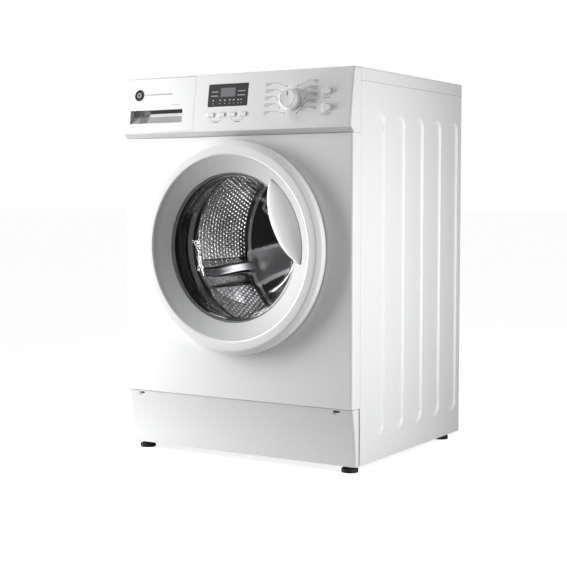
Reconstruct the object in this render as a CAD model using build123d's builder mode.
from build123d import *
import math
import os

# Front load washing machine. +X is to the right seen from the front, +Y runs to the rear, +Z is up.
# The origin is on the floor, under the centre of the whole machine.

# ---- driving dimensions, mm ----
WIDTH = 596.0
HEIGHT = 850.0
DEPTH = 540.0
DOOR_PROUD = 25.0
SPIGOT_PROUD = 15.0
FRONT = (DOOR_PROUD - DEPTH - SPIGOT_PROUD) / 2
HALF = WIDTH / 2
SHEET = 1.2
GAP = 0.5

CABINET_BOTTOM = 15.0
KICK_TOP = 138.0
PANEL_TOP = 713.5
SIDE_TOP = 822.0
RETURN_DEPTH = 33.0
FRONT_EDGE_R = 6.0
REAR_EDGE_R = 8.0

RIB_DEPTHS = (118.0, 210.7, 303.5, 396.2, 489.0)
RIB_WIDTH = 50.0
RIB_BOTTOM = 70.0
RIB_TOP = 760.0
RIB_PRESS = 4.0
REAR_RIB_SPOTS = ((-215.0, 471.0), (215.0, 471.0))

FASCIA_TOP_DEPTH = 8.0
FASCIA_NOSE_DEPTH = -10.0
FASCIA_NOSE_Z = 725.0
FASCIA_FOOT_DEPTH = 2.0
FASCIA_BULGE = 1.5
FASCIA_WALL = 2.5
DRAWER_RIGHT = -101.0
DRAWER_TOP_T = 1.5
DRAWER_FOOT_T = 124.0

KNOB_X, KNOB_T = 150.0, 65.0
OPTION_XS = (-55.0, -27.0, 1.0, 29.0)
OPTION_T = 91.0
OPTION_SIZE = (19.0, 9.0)
POWER_X, POWER_T = 235.0, 50.0
START_X, START_T = 237.5, 85.0
OVAL_SIZE = (21.0, 12.0)

DOOR_Z = 471.0
DOOR_R = 235.0
DISH_R = 222.0
DISH_FLOOR_R = 205.0
DISH_DEPTH = 17.0
PORT_R = 168.0
INNER_FRAME_R = 200.0
HINGE_X = -228.0
HINGE_PROUD = 10.0
LATCH_X = 186.0
LATCH_DEPTH = 4.0

DRUM_R = 239.0
DRUM_FRONT = 94.0
DRUM_BACK = 402.0
DRUM_MOUTH_R = 174.0
LIFTER_ANGLE = 198.5
TUB_R = 252.0
TUB_WALL = 4.0
TUB_FRONT = 84.0
TUB_SPLIT = 250.0
TUB_BACK = 427.0
SHAFT_R = 14.0
PULLEY_DEPTH = 488.0
PULLEY_WIDTH = 20.0
DRUM_PULLEY_R = 140.0
MOTOR_PULLEY_R = 12.0
MOTOR_Z = 150.0
RUNNING = 0.06

FOOT_X = 270.0
FOOT_DEPTHS = (40.0, 490.0)
FOOT_R = 18.0
STUD_R = 5.0

DAMPER_X, DAMPER_DEPTH = 190.0, 260.0
SPRING_X, SPRING_DEPTH = 232.0, 330.0
PUMP_X, PUMP_Z = 210.0, 95.0
DRAIN_X = 245.0
INLET_X, INLET_Z = -150.0, 770.0
NOZZLE_X, NOZZLE_DEPTH = -160.0, 215.0
SUMP_X, SUMP_DEPTH = 40.0, 180.0


def deep(depth):
    """The y of a place this far behind the front panel's face."""
    return FRONT + depth


def facing(depth, height=0.0):
    """A plane parallel to the front, its local z towards the user."""
    return Plane(origin=(0, deep(depth), height), x_dir=(1, 0, 0), z_dir=(0, -1, 0))


def slab(xs, depths, heights, mode=Mode.ADD):
    """A box between two x, two depths and two heights."""
    with Locations((sum(xs) / 2, deep(sum(depths) / 2), sum(heights) / 2)):
        Box(abs(xs[1] - xs[0]), depths[1] - depths[0], heights[1] - heights[0], mode=mode)


def rod(x, z, depths, radius, mode=Mode.ADD):
    """A round bar along y."""
    with Locations(Location((x, deep(sum(depths) / 2), z), (90, 0, 0))):
        Cylinder(radius, depths[1] - depths[0], mode=mode)


def post(x, depth, heights, radius, mode=Mode.ADD):
    """A round bar along z."""
    with Locations((x, deep(depth), sum(heights) / 2)):
        Cylinder(radius, heights[1] - heights[0], mode=mode)


def keep(piece, name):
    """Labels a finished piece and writes it."""
    piece.part.label = name
    export_step(piece.part, f"parts/{name}.step")


# ---- shared planes and axes ----
DRUM_AXIS = Axis((0, FRONT, DOOR_Z), (0, 1, 0))
# Half sections of round pieces: local x is the depth, local y the radius.
SECTION = Plane(origin=(0, FRONT, DOOR_Z), x_dir=(0, 1, 0), z_dir=(1, 0, 0))
# The same seen at the machine's side: local x is the depth, local y the height.
SIDE = Plane(origin=(0, FRONT, 0), x_dir=(0, 1, 0), z_dir=(1, 0, 0))
FASCIA_LENGTH = math.hypot(FASCIA_TOP_DEPTH - FASCIA_NOSE_DEPTH, HEIGHT - FASCIA_NOSE_Z)
FASCIA_OUT_Y = -(HEIGHT - FASCIA_NOSE_Z) / FASCIA_LENGTH
FASCIA_OUT_Z = (FASCIA_TOP_DEPTH - FASCIA_NOSE_DEPTH) / FASCIA_LENGTH
# On the fascia: local x is x, local y runs up the face from its top edge, local z stands out of it.
FASCIA = Plane(
    origin=(0, deep(FASCIA_TOP_DEPTH), HEIGHT), x_dir=(1, 0, 0), z_dir=(0, FASCIA_OUT_Y, FASCIA_OUT_Z)
)


def turned(points, radii=None):
    """A ring or disc turned about the drum's axis from (depth, radius) corners."""
    with BuildSketch(SECTION) as profile:
        with BuildLine():
            Polyline(*points, close=True)
        make_face()
        if radii:
            fillet(profile.vertices(), radii)
    revolve(profile.sketch, axis=DRUM_AXIS)


def turned_sheet(points, radii, thickness, mode=Mode.ADD):
    """A sheet of even thickness turned about the drum's axis along (depth, radius) corners."""
    with BuildSketch(SECTION) as profile:
        with BuildLine():
            FilletPolyline(*points, radius=radii)
        trace(line_width=thickness)
    revolve(profile.sketch, axis=DRUM_AXIS, mode=mode)


# ---- cabinet ----
def make_base_frame():
    low, wall_top = CABINET_BOTTOM, CABINET_BOTTOM + 30
    width, length, middle = 562.0, 506.0, deep(281.0)
    with BuildPart() as base_frame:
        with BuildSketch(Plane.XY.offset(low)):
            with Locations((0, middle)):
                Rectangle(width, length)
                Rectangle(width - 90, length - 90, mode=Mode.SUBTRACT)
        extrude(amount=2)
        with BuildSketch(Plane.XY.offset(low)):
            with Locations((0, middle)):
                Rectangle(width, length)
                Rectangle(width - 4, length - 4, mode=Mode.SUBTRACT)
        extrude(amount=wall_top - low)
        for side in (-1, 1):
            for depth in FOOT_DEPTHS:
                slab((side * (FOOT_X - 24), side * 281), (depth - 10, depth + 38), (low, low + 4))
                post(side * FOOT_X, depth, (low + 4, low + 11), 9)
                post(side * FOOT_X, depth, (low - 1, low + 12), STUD_R + 0.35, Mode.SUBTRACT)
            seat_depths = (DAMPER_DEPTH - 30, DAMPER_DEPTH + 30)
            slab((side * (DAMPER_X - 20), side * 281), seat_depths, (low, low + 4))
            slab((side * DAMPER_X - 20, side * DAMPER_X + 20), seat_depths, (low, 30))
        slab((PUMP_X - 35, PUMP_X + 35), (64, 116), (low, low + 3))
        slab((PUMP_X - 26, PUMP_X + 26), (70, 110), (low + 3, PUMP_Z - 30.2))
    keep(base_frame, "base_frame")


def make_side_panel(side, name):
    wall = side * (HALF - SHEET / 2)
    front_edge, rear_edge = RETURN_DEPTH + GAP, DEPTH - SHEET / 2
    skin = Plane(origin=(side * HALF, FRONT, 0), x_dir=(0, 1, 0), z_dir=(side, 0, 0))
    rib_middle, rib_length = (RIB_BOTTOM + RIB_TOP) / 2, RIB_TOP - RIB_BOTTOM
    rib_spots = [(depth, side * rib_middle) for depth in RIB_DEPTHS]
    with BuildPart() as panel:
        with BuildSketch(Plane.XY.offset(CABINET_BOTTOM)):
            with BuildLine():
                FilletPolyline(
                    (wall - side * 14, deep(front_edge + SHEET / 2)),
                    (wall, deep(front_edge + SHEET / 2)),
                    (wall, deep(rear_edge)),
                    (wall - side * 30, deep(rear_edge)),
                    radius=[1.5, REAR_EDGE_R - SHEET / 2],
                )
            trace(line_width=SHEET)
        extrude(amount=SIDE_TOP - CABINET_BOTTOM)
        with BuildSketch(skin.offset(-SHEET)):
            with Locations(*rib_spots):
                SlotOverall(rib_length, RIB_WIDTH, rotation=90)
        extrude(amount=-RIB_PRESS, taper=45)
        with BuildSketch(skin):
            with Locations(*rib_spots):
                SlotOverall(rib_length, RIB_WIDTH, rotation=90)
        extrude(amount=-RIB_PRESS, taper=45, mode=Mode.SUBTRACT)
    keep(panel, name)


def make_rear_panel():
    with BuildPart() as rear_panel:
        with BuildSketch(facing(DEPTH - SHEET - 0.2)):
            with Locations((0, (22 + SIDE_TOP) / 2)):
                RectangleRounded(564, SIDE_TOP - 24, 6)
            with Locations((0, DOOR_Z)):
                Circle(150, mode=Mode.SUBTRACT)
            with Locations((INLET_X, INLET_Z)):
                Circle(14.5, mode=Mode.SUBTRACT)
            with Locations((DRAIN_X, PUMP_Z)):
                Circle(12, mode=Mode.SUBTRACT)
            with Locations((230, 760)):
                Circle(9, mode=Mode.SUBTRACT)
        extrude(amount=SHEET)
        with BuildSketch(facing(DEPTH - 2 * SHEET - 0.2)):
            with Locations(*REAR_RIB_SPOTS):
                SlotOverall(360, 36, rotation=90)
        extrude(amount=5, taper=40)
        with BuildSketch(facing(DEPTH - SHEET - 0.2)):
            with Locations(*REAR_RIB_SPOTS):
                SlotOverall(360, 36, rotation=90)
        extrude(amount=5, taper=40, mode=Mode.SUBTRACT)
    keep(rear_panel, "rear_panel")


def make_rear_access_cover():
    with BuildPart() as rear_access_cover:
        turned_sheet(
            ((DEPTH - 0.8, 165), (DEPTH - 0.8, 128), (DEPTH + 5, 118), (DEPTH + 5, 0)), [4, 4], SHEET - 0.2
        )
    keep(rear_access_cover, "rear_access_cover")


def make_top_crossbars():
    inner = HALF - SHEET - 0.3
    with BuildPart() as top_crossbars:
        slab((-inner, inner), (38, 60), (SIDE_TOP - 8, SIDE_TOP - 6.5))
        slab((-inner, inner), (58.5, 60), (SIDE_TOP - 8, SIDE_TOP - 0.5))
        for depths in ((318, 342), (480, 506)):
            slab((-inner, inner), depths, (SIDE_TOP - 2.5, SIDE_TOP - 0.5))
            slab((-inner, inner), (depths[0], depths[0] + 2), (SIDE_TOP - 26, SIDE_TOP - 0.5))
            slab((-inner, inner), (depths[1] - 2, depths[1]), (SIDE_TOP - 26, SIDE_TOP - 0.5))
        for side in (-1, 1):
            slab((side * SPRING_X - 3, side * SPRING_X + 3), (319, 341), (SIDE_TOP - 30, SIDE_TOP - 2))
    keep(top_crossbars, "top_crossbars")


def make_front_panel():
    wall, face = HALF - SHEET / 2, SHEET / 2
    with BuildPart() as front_panel:
        with BuildSketch(Plane.XY.offset(KICK_TOP + GAP)):
            with BuildLine():
                FilletPolyline(
                    (-wall, deep(RETURN_DEPTH)),
                    (-wall, deep(face)),
                    (wall, deep(face)),
                    (wall, deep(RETURN_DEPTH)),
                    radius=FRONT_EDGE_R - SHEET / 2,
                )
            trace(line_width=SHEET)
        extrude(amount=PANEL_TOP - KICK_TOP - GAP)
        for low in (KICK_TOP + GAP, PANEL_TOP - SHEET):
            slab((-HALF + 5, HALF - 5), (0.6, 24), (low, low + SHEET))
        with BuildSketch(facing(-1, DOOR_Z)):
            Circle(DISH_R + 1)
        extrude(amount=-4, mode=Mode.SUBTRACT)
        turned_sheet(
            (
                (face, DISH_R + 8),
                (face, DISH_R),
                (DISH_DEPTH + face, DISH_FLOOR_R),
                (DISH_DEPTH + face, PORT_R + face),
                (DISH_DEPTH + 14, PORT_R + face),
            ),
            [4, 4, 3],
            SHEET,
        )
        slab((174, 203), (10, 24), (DOOR_Z - 12, DOOR_Z + 12), Mode.SUBTRACT)
    keep(front_panel, "front_panel")


def fascia_profile():
    """The control fascia's closed side profile: a slanted face over a short chamfer."""
    top = (FASCIA_TOP_DEPTH, HEIGHT)
    nose = (FASCIA_NOSE_DEPTH, FASCIA_NOSE_Z)
    foot = (FASCIA_FOOT_DEPTH, PANEL_TOP + GAP)
    with BuildSketch() as profile:
        with BuildLine() as outline:
            SagittaArc(top, nose, -FASCIA_BULGE)
            Polyline(nose, foot, (RETURN_DEPTH, PANEL_TOP + GAP), (RETURN_DEPTH, HEIGHT), top)
        make_face(outline.edges())
        corners = profile.vertices().sort_by(Axis.X)
        fillet(corners[0], 2)
        fillet([v for v in profile.vertices() if v.X < FASCIA_TOP_DEPTH + 1 and v.Y > HEIGHT - 1], 2.5)
    return profile.sketch


def fascia_block():
    """The whole fascia as one full block, with its top front edge and its ends rounded."""
    with BuildPart() as block:
        extrude(SIDE * fascia_profile(), amount=HALF, both=True)
        front_ends = [
            e
            for e in block.edges()
            if abs(abs(e.center().X) - HALF) < 0.01 and e.center().Y < deep(12)
            and e.center().Z < HEIGHT - 0.05
        ]
        fillet(front_ends, 4.5)
    return block.part


def along_fascia(x, t, out=0.0):
    """A plane on the fascia, t down from its top edge and out of its face."""
    return Plane(FASCIA.from_local_coords(Vector(x, -t, out)), x_dir=(1, 0, 0), z_dir=FASCIA.z_dir)


def make_control_fascia(block):
    inner = HALF - FASCIA_WALL
    with BuildPart() as control_fascia:
        add(block)
        with BuildSketch(SIDE):
            with BuildLine():
                Polyline(
                    (FASCIA_TOP_DEPTH + 4, HEIGHT - FASCIA_WALL),
                    (FASCIA_NOSE_DEPTH + 4, FASCIA_NOSE_Z + 1),
                    (FASCIA_FOOT_DEPTH + 4, PANEL_TOP + 4),
                    (RETURN_DEPTH + 1, PANEL_TOP + 4),
                    (RETURN_DEPTH + 1, HEIGHT - FASCIA_WALL),
                    close=True,
                )
            make_face()
        extrude(amount=inner, both=True, mode=Mode.SUBTRACT)
        # The drawer slides out level, so its opening has a level top and foot.
        opening = (along_fascia(0, DRAWER_FOOT_T).origin.Z, along_fascia(0, DRAWER_TOP_T).origin.Z)
        slab((-HALF - 10, DRAWER_RIGHT), (-60, 60), opening, Mode.SUBTRACT)
        with BuildSketch(along_fascia(0, 0, -8)):
            with Locations((-13, -47.85)):
                RectangleRounded(104.4, 50.1, 2.7)
            with Locations(*[(x, -OPTION_T) for x in OPTION_XS]):
                RectangleRounded(OPTION_SIZE[0] + 0.8, OPTION_SIZE[1] + 0.8, 2.4)
            with Locations((POWER_X, -POWER_T), (START_X, -START_T)):
                SlotOverall(OVAL_SIZE[0] + 0.8, OVAL_SIZE[1] + 0.8)
            with Locations((KNOB_X, -KNOB_T)):
                Circle(4 + RUNNING)
        extrude(amount=20, mode=Mode.SUBTRACT)
    keep(control_fascia, "control_fascia")


def make_display_window():
    with BuildPart() as display_window:
        with BuildSketch(along_fascia(0, 0, -2)):
            with Locations((-13, -47.85)):
                RectangleRounded(104, 49.7, 2.5)
        extrude(amount=3.3)
    keep(display_window, "display_window")


def make_button(name, x, t, proud, round_ends):
    with BuildPart() as button:
        with BuildSketch(along_fascia(x, t, -6)):
            if round_ends:
                SlotOverall(*OVAL_SIZE)
            else:
                RectangleRounded(*OPTION_SIZE, 2)
        extrude(amount=6 + FASCIA_BULGE + proud)
        cap = button.faces().sort_by(Axis(FASCIA.origin, FASCIA.z_dir))[-1]
        fillet(cap.edges(), 1.2)
        with BuildSketch(along_fascia(x, t, -8)):
            if round_ends:
                SlotOverall(OVAL_SIZE[0] + 3, OVAL_SIZE[1] + 3)
            else:
                RectangleRounded(OPTION_SIZE[0] + 3, OPTION_SIZE[1] + 3, 2)
        extrude(amount=2.5)
    keep(button, name)


def make_program_knob():
    floor = FASCIA_BULGE + 0.6
    with BuildPart() as program_knob:
        with BuildSketch(along_fascia(KNOB_X, KNOB_T, floor)):
            Circle(23.5)
        extrude(amount=4, taper=12)
        with BuildSketch(along_fascia(KNOB_X, KNOB_T, floor + 4)):
            Circle(20.8)
        extrude(amount=14, taper=2)
        cap = program_knob.faces().sort_by(Axis(FASCIA.origin, FASCIA.z_dir))[-1]
        fillet(cap.edges(), 1.5)
        with BuildSketch(along_fascia(KNOB_X, KNOB_T, -9)):
            Circle(4)
        extrude(amount=9 + floor + 1)
        with BuildSketch(along_fascia(KNOB_X, KNOB_T, floor + 17.4)):
            with Locations((0, 12)):
                SlotOverall(12, 2, rotation=90)
        extrude(amount=2, mode=Mode.SUBTRACT)
    keep(program_knob, "program_knob")


def make_top():
    low, board_low = SIDE_TOP + GAP, HEIGHT - 16
    start, middle = RETURN_DEPTH + GAP, deep((RETURN_DEPTH + GAP + DEPTH) / 2)
    length = DEPTH - start
    with BuildPart() as top_frame:
        with BuildSketch(Plane.XY.offset(low)):
            with Locations((0, middle)):
                Rectangle(WIDTH, length)
                Rectangle(WIDTH - 36, length - 36, mode=Mode.SUBTRACT)
        extrude(amount=HEIGHT - low)
        corners = [
            e
            for e in top_frame.edges().filter_by(Axis.Z)
            if e.center().Y > deep(DEPTH - 10) and abs(e.center().X) > HALF - 1
        ]
        fillet(corners, 7)
        outer = top_frame.faces().sort_by(Axis.Z)[-1].outer_wire().edges()
        fillet(outer.sort_by(Axis.Y)[1:], 3)
        with BuildSketch(Plane.XY.offset(low - 1)):
            with Locations((0, middle)):
                Rectangle(WIDTH - 8, length - 8)
                Rectangle(WIDTH - 24, length - 24, mode=Mode.SUBTRACT)
        extrude(amount=15, mode=Mode.SUBTRACT)
    keep(top_frame, "top_frame")
    with BuildPart() as top_board:
        with BuildSketch(Plane.XY.offset(board_low)):
            with Locations((0, middle)):
                Rectangle(WIDTH - 36.4, length - 36.4)
        extrude(amount=15.6)
        chamfer(top_board.faces().sort_by(Axis.Z)[-1].edges(), 0.4)
    keep(top_board, "top_board")


def make_kick_panel():
    top, foot, inner = KICK_TOP - GAP, CABINET_BOTTOM + 0.5, HALF - 2.5
    with BuildPart() as kick_panel:
        with BuildSketch(SIDE):
            with BuildLine():
                SagittaArc((1.0, top), (15.5, foot), 4)
                Polyline((15.5, foot), (RETURN_DEPTH - 6, foot), (RETURN_DEPTH - 6, top), (1.0, top))
            make_face()
        extrude(amount=HALF, both=True)
        ends = [
            e
            for e in kick_panel.edges()
            if abs(abs(e.center().X) - HALF) < 0.01 and e.center().Y < deep(14) and e.length > 60
        ]
        fillet(ends, 5)
        with BuildSketch(SIDE):
            with BuildLine():
                SagittaArc((3.8, top - 2.5), (18.3, foot - 1), 4)
                Polyline((18.3, foot - 1), (RETURN_DEPTH + 1, foot - 1), (RETURN_DEPTH + 1, top - 2.5))
                Line((RETURN_DEPTH + 1, top - 2.5), (3.8, top - 2.5))
            make_face()
        extrude(amount=inner, both=True, mode=Mode.SUBTRACT)
        for side in (-1, 1):
            slab((side * 258 - 8, side * 258 + 8), (-3, 5), (top - 11, top - 3), Mode.SUBTRACT)
    keep(kick_panel, "kick_panel")


def make_foot(name, side, depth):
    with BuildPart() as foot:
        post(side * FOOT_X, depth, (0, 9), FOOT_R)
        fillet(foot.faces().sort_by(Axis.Z)[-1].edges(), 2.5)
        post(side * FOOT_X, depth, (9, 13), 10)
        post(side * FOOT_X, depth, (13, 58), STUD_R)
        chamfer(foot.faces().sort_by(Axis.Z)[-1].edges(), 1)
    keep(foot, name)


def make_panel_screws():
    with BuildPart() as panel_screws:
        for turn in range(6):
            angle = math.radians(60 * turn + 30)
            x, z = 157 * math.cos(angle), DOOR_Z + 157 * math.sin(angle)
            rod(x, z, (DEPTH - 0.29, DEPTH + 2.2), 4)
        for x, z in ((-270, 120), (270, 120), (-270, 471), (270, 471), (-270, 700), (270, 700)):
            rod(x, z, (DEPTH + 0.01, DEPTH + 2.4), 4)
    keep(panel_screws, "panel_screws")


def make_power_cord_gland():
    with BuildPart() as power_cord_gland:
        rod(230, 760, (DEPTH - 1, DEPTH + 3), 13)
        rod(230, 760, (DEPTH + 3, DEPTH + 12), 9)
        rod(230, 760, (DEPTH - 12, DEPTH - 1), 8.6)
        rod(230, 760, (DEPTH - 13, DEPTH + 13), 4, Mode.SUBTRACT)
    keep(power_cord_gland, "power_cord_gland")


# ---- water path ----
def make_dispenser_housing():
    with BuildPart() as dispenser_housing:
        slab((-284, -108), (46, 290), (744, 812))
        slab((-282, -110), (40, 288), (746.5, 810), Mode.SUBTRACT)
        post(NOZZLE_X, NOZZLE_DEPTH, (729, 745), 18)
        post(NOZZLE_X, NOZZLE_DEPTH, (728, 750), 15, Mode.SUBTRACT)
        rod(INLET_X, INLET_Z, (289, 302), 6)
        rod(INLET_X, INLET_Z, (286, 303), 4, Mode.SUBTRACT)
    keep(dispenser_housing, "dispenser_housing")


def make_inlet_valve():
    with BuildPart() as inlet_valve:
        rod(INLET_X, INLET_Z, (500, DEPTH + SPIGOT_PROUD), 13.2)
        rod(INLET_X, INLET_Z, (528, 536), 19)
        rod(INLET_X, INLET_Z, (486, 500), 6)
        slab((INLET_X - 26, INLET_X + 26), (500, 528), (INLET_Z - 22, INLET_Z + 12))
        for side in (-1, 1):
            post(INLET_X + side * 14, 514, (INLET_Z - 52, INLET_Z - 22), 11)
        rod(INLET_X, INLET_Z, (DEPTH - 10, DEPTH + SPIGOT_PROUD + 1), 9, Mode.SUBTRACT)
    keep(inlet_valve, "inlet_valve")


def make_water_pipes():
    with BuildPart() as water_pipes:
        rod(INLET_X, INLET_Z, (292, 498), 8)
        rod(INLET_X, INLET_Z, (290, 499), 6.02, Mode.SUBTRACT)
        rod(DRAIN_X, PUMP_Z, (119, DEPTH + 13), 10)
        rod(DRAIN_X, PUMP_Z, (DEPTH - 12, DEPTH - 4), 15)
        rod(DRAIN_X, PUMP_Z, (118, DEPTH + 14), 7.5, Mode.SUBTRACT)
    keep(water_pipes, "water_pipes")


def make_drain_pump():
    with BuildPart() as drain_pump:
        rod(PUMP_X, PUMP_Z, (36, 118), 30)
        rod(PUMP_X, PUMP_Z, (118, 160), 22)
        slab((PUMP_X + 15, DRAIN_X + 10), (92, 106), (PUMP_Z - 10, PUMP_Z + 10))
        rod(DRAIN_X, PUMP_Z, (100, 124), 7.4)
        rod(SUMP_X, PUMP_Z, (84, SUMP_DEPTH + 14), 14)
        with Locations(Location(((SUMP_X + PUMP_X) / 2, deep(98), PUMP_Z), (0, 90, 0))):
            Cylinder(14, PUMP_X - SUMP_X)
        post(SUMP_X, SUMP_DEPTH, (PUMP_Z, 140), 16)
        post(SUMP_X, SUMP_DEPTH, (PUMP_Z, 141), 12, Mode.SUBTRACT)
        rod(PUMP_X, PUMP_Z, (35, 96), 25, Mode.SUBTRACT)
        rod(DRAIN_X, PUMP_Z, (90, 125), 5, Mode.SUBTRACT)
    keep(drain_pump, "drain_pump")


def make_pump_filter():
    with BuildPart() as pump_filter:
        rod(PUMP_X, PUMP_Z, (28, 35.5), 29)
        rod(PUMP_X, PUMP_Z, (35.5, 90), 21)
        rod(PUMP_X, PUMP_Z, (44, 91), 18, Mode.SUBTRACT)
        slab((PUMP_X - 24, PUMP_X + 24), (21, 29), (PUMP_Z - 4, PUMP_Z + 4))
        for middle in (PUMP_Z - 9, PUMP_Z + 9):
            slab((PUMP_X - 30, PUMP_X + 30), (52, 84), (middle - 4, middle + 4), Mode.SUBTRACT)
    keep(pump_filter, "pump_filter")


def bellows(x, depth, heights, radius, folds):
    """A vertical corrugated rubber sleeve."""
    plane = Plane(origin=(x, deep(depth), 0), x_dir=(1, 0, 0), z_dir=(0, -1, 0))
    low, high = heights
    cuff = 6.0
    pitch = (high - low - 2 * cuff) / (2 * folds)
    outer = [(radius, low), (radius, low + cuff)]
    for fold in range(folds):
        outer.append((radius + 4, low + cuff + (2 * fold + 1) * pitch))
        outer.append((radius, low + cuff + (2 * fold + 2) * pitch))
    outer.append((radius, high))
    inner = [(r - 2.2, z) for r, z in reversed(outer)]
    with BuildSketch(plane) as profile:
        with BuildLine():
            Polyline(*outer, *inner, close=True)
        make_face()
    revolve(profile.sketch, axis=Axis((x, deep(depth), 0), (0, 0, 1)))


def make_hoses():
    with BuildPart() as fill_hose:
        bellows(NOZZLE_X, NOZZLE_DEPTH, (684, 740), 20.4, 4)
    keep(fill_hose, "fill_hose")
    with BuildPart() as sump_hose:
        bellows(SUMP_X, SUMP_DEPTH, (128, 192), 18.4, 5)
    keep(sump_hose, "sump_hose")


# ---- door mouth ----
def make_door_lock():
    with BuildPart() as door_lock:
        slab((172, 207), (19.0, 43), (DOOR_Z - 42, DOOR_Z + 42))
        slab((172, 204), (18, 41), (DOOR_Z - 12, DOOR_Z + 12), Mode.SUBTRACT)
        slab((200, 206), (43, 46), (DOOR_Z - 34, DOOR_Z - 14))
        rod(0, DOOR_Z, (18, 60), 175.5, Mode.SUBTRACT)
    keep(door_lock, "door_lock")


def make_door_gasket():
    with BuildPart() as door_gasket:
        turned(
            (
                (11, 159), (11, 167.6), (33, 167.6), (33, 172), (43, 173), (49, 192), (57, 193), (63, 181),
                (81, 181), (81, 177.3), (61, 177.3), (55, 188), (52, 188), (46, 168), (37, 167), (37, 160),
                (30, 157), (18, 157),
            )
        )
    keep(door_gasket, "door_gasket")


def make_door_hinge_plate():
    ear_low, ear_high = DOOR_Z + 28.5, DOOR_Z + 34.5
    pivot = (HINGE_X, deep(-HINGE_PROUD))
    with BuildPart() as door_hinge_plate:
        with BuildSketch(facing(DISH_DEPTH - 0.05, DOOR_Z)):
            with Locations((-187, 0)):
                RectangleRounded(26, 80, 3)
        extrude(amount=2.6)
        for low in (ear_low, 2 * DOOR_Z - ear_high):
            with BuildSketch(Plane.XY.offset(low)):
                with BuildLine():
                    Polyline(
                        (-180, deep(DISH_DEPTH - 0.1)),
                        (-195, deep(DISH_DEPTH - 0.1)),
                        (-216, deep(-1.2)),
                        (HINGE_X - 4.5, deep(-HINGE_PROUD + 2)),
                        (HINGE_X - 1, deep(-HINGE_PROUD - 4.4)),
                        (HINGE_X + 4, deep(-HINGE_PROUD - 4.4)),
                        (-211, deep(-2.5)),
                        (-199, deep(DISH_DEPTH - 5)),
                        (-195, deep(DISH_DEPTH - 2.65)),
                        (-180, deep(DISH_DEPTH - 2.65)),
                        close=True,
                    )
                make_face()
            extrude(amount=ear_high - ear_low)
        with Locations((pivot[0], pivot[1], DOOR_Z)):
            Cylinder(2.5, 2 * (ear_high - DOOR_Z))
    keep(door_hinge_plate, "door_hinge_plate")


# ---- tub, which hangs on its springs ----
def make_tub_front_half():
    inner = TUB_R - TUB_WALL
    with BuildPart() as tub_front_half:
        turned(
            (
                (TUB_SPLIT, inner), (TUB_SPLIT, TUB_R + 10), (TUB_SPLIT - 6, TUB_R + 10),
                (TUB_SPLIT - 6, TUB_R), (TUB_FRONT, TUB_R), (TUB_FRONT, 177), (68, 177), (68, 173),
                (TUB_FRONT + 4, 173), (TUB_FRONT + 4, inner),
            )
        )
        slab((-62, 62), (108, 238), (DOOR_Z - TUB_R - 26, DOOR_Z - 238))
        slab((-58, 58), (112, 234), (DOOR_Z - TUB_R - 22, DOOR_Z - 230), Mode.SUBTRACT)
        post(SUMP_X, SUMP_DEPTH, (180, 197), 16)
        post(SUMP_X, SUMP_DEPTH, (179, 202), 12, Mode.SUBTRACT)
        post(NOZZLE_X, NOZZLE_DEPTH, (655, 700), 18)
        rod(0, DOOR_Z, (TUB_FRONT + 5, TUB_SPLIT - 1), inner, Mode.SUBTRACT)
        post(NOZZLE_X, NOZZLE_DEPTH, (600, 701), 15, Mode.SUBTRACT)
    keep(tub_front_half, "tub_front_half")


def make_tub_rear_half():
    inner = TUB_R - TUB_WALL
    with BuildPart() as tub_rear_half:
        turned(
            (
                (TUB_SPLIT, inner), (TUB_SPLIT, TUB_R + 10), (TUB_SPLIT + 6, TUB_R + 10),
                (TUB_SPLIT + 6, TUB_R), (TUB_BACK, TUB_R), (TUB_BACK, 48), (474, 42), (474, 30),
                (TUB_BACK - TUB_WALL, 30), (TUB_BACK - TUB_WALL, inner),
            )
        )
        for turn in range(8):
            with BuildSketch(facing(TUB_BACK - 1, DOOR_Z)):
                with PolarLocations(145, 1, start_angle=45 * turn + 22.5):
                    Rectangle(196, 5)
            extrude(amount=-12)
        for side in (-1, 1):
            slab((side * SPRING_X - 5, side * SPRING_X + 5), (320, 340), (560, 618))
            slab((side * DAMPER_X - 12, side * DAMPER_X + 12), (251, 276), (284, 318))
            slab((side * 30 - 6, side * 30 + 6), (350, 420), (204, 226))
        rod(0, DOOR_Z, (TUB_SPLIT - 1, TUB_BACK - TUB_WALL), inner, Mode.SUBTRACT)
    keep(tub_rear_half, "tub_rear_half")


def make_counterweights():
    with BuildPart() as counterweights:
        turned(((52, 206), (52, 248), (TUB_FRONT - 0.3, 248), (TUB_FRONT - 0.3, 206)))
        with BuildSketch(facing(120)):
            with Locations((40, 720)):
                Rectangle(260, 90)
            with Locations((0, DOOR_Z)):
                Circle(TUB_R + 0.3, mode=Mode.SUBTRACT)
        extrude(amount=-118)
    keep(counterweights, "counterweights")


def make_motor():
    with BuildPart() as motor:
        rod(0, MOTOR_Z, (345, 470), 50)
        rod(0, MOTOR_Z, (470, 480), 20)
        slab((-36, 36), (350, 420), (MOTOR_Z + 40, 204))
        rod(0, MOTOR_Z, (344, 481), 5 + RUNNING, Mode.SUBTRACT)
        with BuildSketch(facing(346, MOTOR_Z)):
            with PolarLocations(34, 10):
                SlotOverall(16, 5)
        extrude(amount=-6, mode=Mode.SUBTRACT)
    keep(motor, "motor")


def make_motor_pulley():
    with BuildPart() as motor_pulley:
        rod(0, MOTOR_Z, (344, 512), 5)
        rod(0, MOTOR_Z, (PULLEY_DEPTH + 1, PULLEY_DEPTH + PULLEY_WIDTH - 1), MOTOR_PULLEY_R)
        rod(0, MOTOR_Z, (PULLEY_DEPTH - 1, PULLEY_DEPTH + 1), MOTOR_PULLEY_R + 4)
    keep(motor_pulley, "motor_pulley")


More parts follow.
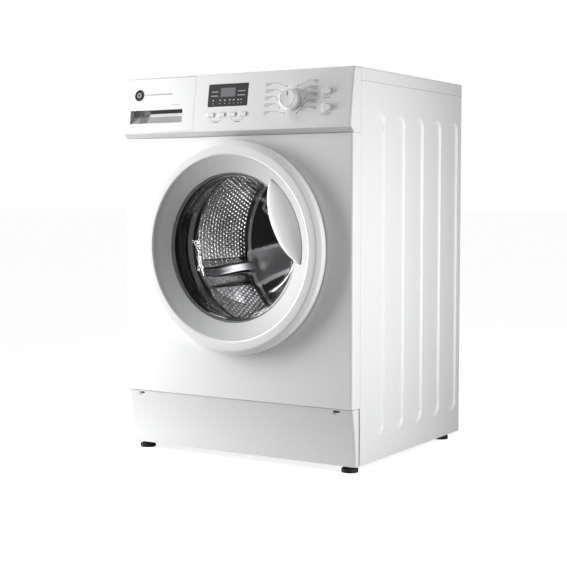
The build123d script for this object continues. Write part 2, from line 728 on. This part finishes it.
def make_heater():
    bottom = DOOR_Z - TUB_R - 8
    with BuildPart() as heater:
        with BuildLine(Plane.XY.offset(bottom)) as path:
            FilletPolyline(
                (-16, deep(114)), (-16, deep(226)), (16, deep(226)), (16, deep(114)), radius=15.5
            )
        with BuildSketch(Plane(origin=(-16, deep(114), bottom), z_dir=(0, 1, 0))):
            Circle(3.6)
        sweep(path=path.wires()[0])
        slab((-28, 28), (112.3, 118), (bottom - 8, bottom + 8))
    keep(heater, "heater")


def make_drum_bearings():
    with BuildPart() as drum_bearings:
        for depths in ((430, 444), (458, 472)):
            rod(0, DOOR_Z, depths, 29.98)
        rod(0, DOOR_Z, (429, 473), SHAFT_R + RUNNING, Mode.SUBTRACT)
    keep(drum_bearings, "drum_bearings")


def make_dampers():
    with BuildPart() as damper_cylinders:
        for side in (-1, 1):
            post(side * DAMPER_X, DAMPER_DEPTH, (30.2, 205), 14)
            post(side * DAMPER_X, DAMPER_DEPTH, (60, 200), 11, Mode.SUBTRACT)
            post(side * DAMPER_X, DAMPER_DEPTH, (199, 206), 5 + RUNNING, Mode.SUBTRACT)
    keep(damper_cylinders, "damper_cylinders")
    with BuildPart() as damper_rods:
        for side in (-1, 1):
            post(side * DAMPER_X, DAMPER_DEPTH, (140, 283.9), 5)
            post(side * DAMPER_X, DAMPER_DEPTH, (132, 146), 9)
    keep(damper_rods, "damper_rods")


def make_suspension_springs():
    low, high, coil, wire = 626.0, 778.0, 10.0, 1.5
    with BuildPart() as suspension_springs:
        for side in (-1, 1):
            spot = Vector(side * SPRING_X, deep(SPRING_DEPTH), low)
            with BuildLine() as path:
                Helix(pitch=8, height=high - low, radius=coil, center=spot)
            start = path.wires()[0]
            with BuildSketch(Plane(origin=start @ 0, z_dir=start % 0)):
                Circle(wire)
            sweep(path=start, is_frenet=True)
            post(spot.X, SPRING_DEPTH, (618.2, 628), 2)
            post(spot.X, SPRING_DEPTH, (777, 791.8), 2)
            slab((spot.X - 1.5, spot.X + coil), (SPRING_DEPTH - 1.5, SPRING_DEPTH + 1.5), (625, 628))
            slab((spot.X - 1.5, spot.X + coil), (SPRING_DEPTH - 1.5, SPRING_DEPTH + 1.5), (776.5, 779.5))
    keep(suspension_springs, "suspension_springs")


def make_drive_belt():
    with BuildPart() as drive_belt:
        with BuildSketch(facing(PULLEY_DEPTH + 3)):
            with Locations((0, DOOR_Z)):
                Circle(DRUM_PULLEY_R + 2.6)
            with Locations((0, MOTOR_Z)):
                Circle(MOTOR_PULLEY_R + 2.6)
            make_hull()
        extrude(amount=-14)
        with BuildSketch(facing(PULLEY_DEPTH + 2)):
            with Locations((0, DOOR_Z)):
                Circle(DRUM_PULLEY_R + 0.4)
            with Locations((0, MOTOR_Z)):
                Circle(MOTOR_PULLEY_R + 0.4)
            make_hull()
        extrude(amount=-16, mode=Mode.SUBTRACT)
    keep(drive_belt, "drive_belt")


# ---- drum ----
def make_drum_shell():
    with BuildPart() as drum_shell:
        low = DRUM_FRONT + 8
        turned(((low, DRUM_R - 1), (low, DRUM_R), (DRUM_BACK, DRUM_R), (DRUM_BACK, DRUM_R - 1)))
    keep(drum_shell, "drum_shell")


def make_drum_front_ring():
    with BuildPart() as drum_front_ring:
        turned_sheet(
            (
                (DRUM_FRONT + 14, DRUM_R - 1.6),
                (DRUM_FRONT + 1, DRUM_R - 1.6),
                (DRUM_FRONT + 1, DRUM_MOUTH_R),
                (DRUM_FRONT + 12, DRUM_MOUTH_R),
            ),
            [8, 5],
            1.0,
        )
    keep(drum_front_ring, "drum_front_ring")


def make_drum_back():
    arms = [LIFTER_ANGLE + 120 * turn for turn in range(3)]
    with BuildPart() as drum_back:
        low, edge = DRUM_BACK - 1, DRUM_R - 1.2
        turned(((low, 0), (low, edge), (DRUM_BACK, edge), (DRUM_BACK, 0)))
        for angle in arms:
            with BuildSketch(facing(DRUM_BACK - 1, DOOR_Z)):
                with PolarLocations(118, 1, start_angle=angle):
                    SlotOverall(190, 56)
            extrude(amount=7, taper=45)
        with BuildSketch(facing(DRUM_BACK - 1, DOOR_Z)):
            Circle(46)
        extrude(amount=10, taper=30)
        for angle in arms:
            with BuildSketch(facing(DRUM_BACK + 1, DOOR_Z)):
                with PolarLocations(118, 1, start_angle=angle):
                    SlotOverall(188, 54)
            extrude(amount=7, taper=45, mode=Mode.SUBTRACT)
        with BuildSketch(facing(DRUM_BACK + 1, DOOR_Z)):
            Circle(44)
        extrude(amount=10, taper=30, mode=Mode.SUBTRACT)
    keep(drum_back, "drum_back")


def make_drum_lifters():
    base, tip = DRUM_R - 1.4, DRUM_R - 46
    with BuildPart() as drum_lifters:
        for turn in range(3):
            angle = math.radians(LIFTER_ANGLE + 120 * turn)
            outwards = Plane(
                origin=(0, deep(DRUM_FRONT + 18), DOOR_Z),
                x_dir=(math.cos(angle), 0, math.sin(angle)),
                z_dir=(0, -1, 0),
            )
            with BuildSketch(outwards) as profile:
                with BuildLine():
                    Polyline((base - 4, -38), (tip, -13), (tip, 13), (base - 4, 38))
                    Polyline((base - 4, 38), (base + 6, 38), (base + 6, -38), (base - 4, -38))
                make_face()
                fillet([v for v in profile.vertices() if Vector(v.X, v.Y).length < base - 20], 10)
                Circle(base, mode=Mode.INTERSECT)
            extrude(amount=-(DRUM_BACK - DRUM_FRONT - 26))
    keep(drum_lifters, "drum_lifters")


def make_drum_spider():
    with BuildPart() as drum_spider:
        for turn in range(3):
            with BuildSketch(facing(DRUM_BACK + 2, DOOR_Z)):
                with PolarLocations(128, 1, start_angle=LIFTER_ANGLE + 60 + 120 * turn):
                    Rectangle(208, 34)
            extrude(amount=-14)
        rod(0, DOOR_Z, (DRUM_BACK + 2, 421), 40)
        rod(0, DOOR_Z, (420, 512), SHAFT_R)
        rod(0, DOOR_Z, (421, 429), 22)
    keep(drum_spider, "drum_spider")


def make_drum_pulley():
    low, high = PULLEY_DEPTH, PULLEY_DEPTH + PULLEY_WIDTH
    with BuildPart() as drum_pulley:
        rim = DRUM_PULLEY_R - 6
        turned(((low, rim), (low, DRUM_PULLEY_R), (high, DRUM_PULLEY_R), (high, rim)))
        rod(0, DOOR_Z, (low - 6, high), 26)
        with BuildSketch(facing(low + 4, DOOR_Z)):
            with PolarLocations(80, 6):
                Rectangle(116, 20)
        extrude(amount=-8)
        rod(0, DOOR_Z, (low - 7, high + 1), SHAFT_R, Mode.SUBTRACT)
    keep(drum_pulley, "drum_pulley")


# ---- door ----
HANDLE_AXIS_PROUD = 11.0
HANDLE_ARC_R = 183.0
HANDLE_TOP_ANGLE = 54.0
HANDLE_FOOT_ANGLE = -9.5
HANDLE_FREE_EDGE = ((97.0, 108.0), (101.0, 70.0), (133.0, 3.0))


def polar(radius, angle):
    """A place on a circle about the door's centre, as local x and height."""
    return (radius * math.cos(math.radians(angle)), radius * math.sin(math.radians(angle)))


HANDLE_TOP = polar(HANDLE_ARC_R, HANDLE_TOP_ANGLE)
HANDLE_FOOT = polar(HANDLE_ARC_R, HANDLE_FOOT_ANGLE)
CHORD = Vector(HANDLE_TOP[0] - HANDLE_FOOT[0], 0, HANDLE_TOP[1] - HANDLE_FOOT[1]).normalized()
CHORD_MIDDLE = Vector(
    (HANDLE_TOP[0] + HANDLE_FOOT[0]) / 2,
    deep(-HANDLE_AXIS_PROUD),
    DOOR_Z + (HANDLE_TOP[1] + HANDLE_FOOT[1]) / 2,
)


def chord_bar(spans, radius, mode=Mode.ADD):
    """Round bars along the handle's axis, between places measured from its middle."""
    for low, high in spans:
        with BuildSketch(Plane(origin=CHORD_MIDDLE + CHORD * low, z_dir=CHORD)) as end:
            Circle(radius)
        extrude(end.sketch, amount=high - low, mode=mode)


def handle_outline():
    """The handle's leaf shape: a round outer edge and a free inner edge."""
    with BuildLine() as outline:
        CenterArc((0, 0), HANDLE_ARC_R, HANDLE_FOOT_ANGLE, HANDLE_TOP_ANGLE - HANDLE_FOOT_ANGLE)
        ThreePointArc(HANDLE_TOP, HANDLE_FREE_EDGE[0], HANDLE_FREE_EDGE[1])
        ThreePointArc(HANDLE_FREE_EDGE[1], HANDLE_FREE_EDGE[2], HANDLE_FOOT)
    make_face(outline.edges())


def make_door_outer_frame():
    with BuildPart() as door_outer_frame:
        turned_sheet(
            ((-2, DOOR_R - 1.25), (-18, DOOR_R - 1.25), (-23.95, 219), (-22, 204), (-17.5, 201), (-6.6, 165)),
            [9, 9, 3, 2],
            2.5,
        )
        slab((-240, -211), (-17, -1), (DOOR_Z - 48, DOOR_Z + 48), Mode.SUBTRACT)
        with BuildSketch(facing(-30, DOOR_Z)):
            handle_outline()
            offset(amount=1.2)
        extrude(amount=-30, mode=Mode.SUBTRACT)
    keep(door_outer_frame, "door_outer_frame")


def make_door_inner_frame():
    with BuildPart() as door_inner_frame:
        turned(
            (
                (-2, INNER_FRAME_R), (12, INNER_FRAME_R), (12, 197), (1, 197), (1, 176), (12, 176),
                (12, 172), (-0.4, 172), (-0.4, 160), (-2.8, 160), (-2.8, 176), (-2, 180),
            )
        )
        slab((LATCH_X - 12, LATCH_X + 14), (-4, 13), (DOOR_Z - 14, DOOR_Z + 14))
        rod(0, DOOR_Z, (-5, 14), 172, Mode.SUBTRACT)
        with BuildSketch(facing(-2.8, DOOR_Z)):
            Circle(172)
            Circle(160, mode=Mode.SUBTRACT)
        extrude(amount=-2.4)
        slab((LATCH_X - 9, LATCH_X + 11), (-5, 14), (DOOR_Z - 7, DOOR_Z + 7), Mode.SUBTRACT)
        with Locations((LATCH_X, deep(LATCH_DEPTH), DOOR_Z)):
            Cylinder(2 + RUNNING, 24, mode=Mode.SUBTRACT)
        for low, high in ((-88, -80), (80, 88)):
            middle = CHORD_MIDDLE + CHORD * ((low + high) / 2)
            lug = Plane(origin=(middle.X, deep(-2), middle.Z), x_dir=CHORD, z_dir=(0, -1, 0))
            with BuildSketch(lug):
                Rectangle(high - low, 6)
            extrude(amount=HANDLE_AXIS_PROUD - 2)
        chord_bar([(-88, -80), (80, 88)], 3)
        chord_bar([(-92, -76), (76, 92)], 2 + RUNNING, Mode.SUBTRACT)
    keep(door_inner_frame, "door_inner_frame")


def make_door_glass():
    with BuildPart() as door_glass:
        turned(
            (
                (91.5, 0), (96, 0), (93, 70), (85, 112), (70, 133), (0, 155), (-3, 159), (-3, 167),
                (-5, 167), (-5.6, 161), (-5.6, 155.5), (-3.5, 150.5), (66, 129), (80.5, 109), (88.5, 68),
            )
        )
    keep(door_glass, "door_glass")


def make_door_hinge_arm():
    with BuildPart() as door_hinge_arm:
        slab((HINGE_X - 3.5, -183), (-6, -2.1), (DOOR_Z - 27, DOOR_Z + 27))
        slab((-197, -183), (-6, -2.1), (DOOR_Z - 40, DOOR_Z + 40))
        with Locations((HINGE_X, deep(-HINGE_PROUD), DOOR_Z)):
            Cylinder(4.5, 54)
            Cylinder(2.5 + RUNNING, 60, mode=Mode.SUBTRACT)
    keep(door_hinge_arm, "door_hinge_arm")


def make_door_handle():
    with BuildPart() as door_handle:
        with BuildSketch(facing(-30, DOOR_Z)):
            handle_outline()
        extrude(amount=-30)
        turned_sheet(((-13, 185), (-17.5, 160), (-17.5, 126), (-13.5, 92)), 30, 3, Mode.INTERSECT)
        for low, high in ((-78, -68), (68, 78)):
            middle = CHORD_MIDDLE + CHORD * ((low + high) / 2)
            seat = (middle.X, deep(-HANDLE_AXIS_PROUD), middle.Z)
            with BuildSketch(Plane(origin=seat, x_dir=CHORD, z_dir=(0, -1, 0))):
                Rectangle(high - low, 6)
            extrude(amount=4)
        chord_bar([(-88.8, -79.2), (79.2, 88.8)], 3.4, Mode.SUBTRACT)
        chord_bar([(-78, -68), (68, 78)], 3.3)
        chord_bar([(-88, -70), (70, 88)], 2)
    keep(door_handle, "door_handle")


def make_latch_hook():
    with BuildPart() as latch_hook:
        with BuildSketch(Plane.XY.offset(DOOR_Z - 5)):
            with BuildLine():
                Polyline(
                    (LATCH_X - 4.5, deep(-2)),
                    (LATCH_X + 4.5, deep(-2)),
                    (LATCH_X + 4.5, deep(26)),
                    (LATCH_X + 10, deep(27)),
                    (LATCH_X + 4, deep(36)),
                    (LATCH_X - 1.5, deep(36)),
                    (LATCH_X - 4.5, deep(20)),
                    close=True,
                )
            make_face()
        extrude(amount=10)
        with Locations((LATCH_X, deep(LATCH_DEPTH), DOOR_Z)):
            Cylinder(2, 23)
    keep(latch_hook, "latch_hook")


# ---- detergent drawer ----
def make_drawer_front(block):
    right = DRAWER_RIGHT - 0.6
    foot = along_fascia(0, DRAWER_FOOT_T).origin.Z + 0.5
    top = along_fascia(0, DRAWER_TOP_T).origin.Z - 0.5
    with BuildPart() as drawer_front:
        add(block)
        slab((-HALF - 10, right), (-60, 60), (foot, top), Mode.INTERSECT)
        slab((-HALF + 3, right + 1), (13.5, 60), (700, 860), Mode.SUBTRACT)
        slab((-HALF - 1, -HALF + 4), (RETURN_DEPTH - 1.2, 60), (700, 860), Mode.SUBTRACT)
        # The handle recess: a deep pocket behind the face, its floor sloping out to the lower edge.
        with BuildSketch(Plane(origin=(-279.5, FRONT, 0), x_dir=(0, 1, 0), z_dir=(1, 0, 0))):
            with BuildLine():
                Polyline(
                    (-16, 778), (-1.2, 777.6), (9.5, 778), (9.5, 769), (-4.9, 747), (-16, 747), close=True
                )
            make_face()
        extrude(amount=146.5, mode=Mode.SUBTRACT)
    keep(drawer_front, "drawer_front")


def make_drawer_tray():
    low, high = 750.0, 806.0
    with BuildPart() as drawer_tray:
        slab((-279, -113), (13.6, 272), (low, high))
        for xs, depths in (
            ((-277, -198), (16, 150)),
            ((-277, -198), (152, 269.6)),
            ((-196, -115), (16, 269.6)),
        ):
            slab(xs, depths, (low + 2.4, high + 1), Mode.SUBTRACT)
    keep(drawer_tray, "drawer_tray")


def main():
    os.makedirs("parts", exist_ok=True)
    make_base_frame()
    make_side_panel(-1, "left_side_panel")
    make_side_panel(1, "right_side_panel")
    make_rear_panel()
    make_rear_access_cover()
    make_top_crossbars()
    make_front_panel()
    block = fascia_block()
    make_control_fascia(block)
    make_drawer_front(block)
    make_drawer_tray()
    make_display_window()
    for number, x in enumerate(OPTION_XS, start=1):
        make_button(f"option_button_{number}", x, OPTION_T, 1.8, False)
    make_button("power_button", POWER_X, POWER_T, 5.0, True)
    make_button("start_button", START_X, START_T, 5.0, True)
    make_program_knob()
    make_top()
    make_kick_panel()
    for side, side_name in ((-1, "left"), (1, "right")):
        for depth, end_name in zip(FOOT_DEPTHS, ("front", "rear")):
            make_foot(f"foot_{end_name}_{side_name}", side, depth)
    make_panel_screws()
    make_power_cord_gland()
    make_dispenser_housing()
    make_inlet_valve()
    make_water_pipes()
    make_drain_pump()
    make_pump_filter()
    make_hoses()
    make_door_lock()
    make_door_gasket()
    make_door_hinge_plate()
    make_tub_front_half()
    make_tub_rear_half()
    make_counterweights()
    make_motor()
    make_motor_pulley()
    make_heater()
    make_drum_bearings()
    make_dampers()
    make_suspension_springs()
    make_drive_belt()
    make_drum_shell()
    make_drum_front_ring()
    make_drum_back()
    make_drum_lifters()
    make_drum_spider()
    make_drum_pulley()
    make_door_outer_frame()
    make_door_inner_frame()
    make_door_glass()
    make_door_hinge_arm()
    make_door_handle()
    make_latch_hook()


main()
